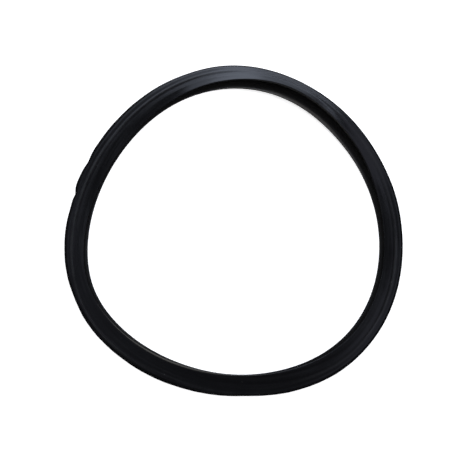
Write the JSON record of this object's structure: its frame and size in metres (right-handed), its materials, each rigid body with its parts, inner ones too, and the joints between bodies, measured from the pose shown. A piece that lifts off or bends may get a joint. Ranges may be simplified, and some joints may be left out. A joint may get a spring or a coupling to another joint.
{
  "type": "pressure cooker sealing ring",
  "caption": "Loose black rubber gasket for a pressure cooker lid: a slightly out-of-round ring with an inward-facing channel between two flexible lips.",
  "frame": {"origin": "middle of the ring's footprint, on the plane that it lies on", "axes": "+Z along the ring's axis, up; +X and +Y in the plane of the ring"},
  "size_m": [0.2398, 0.2398, 0.009],
  "materials": {
    "rubber": "satin black moulded rubber, faint mould sheen"
  },
  "bodies": {
    "root": {"sealing_ring": "rubber"}
  },
  "joints": []
}
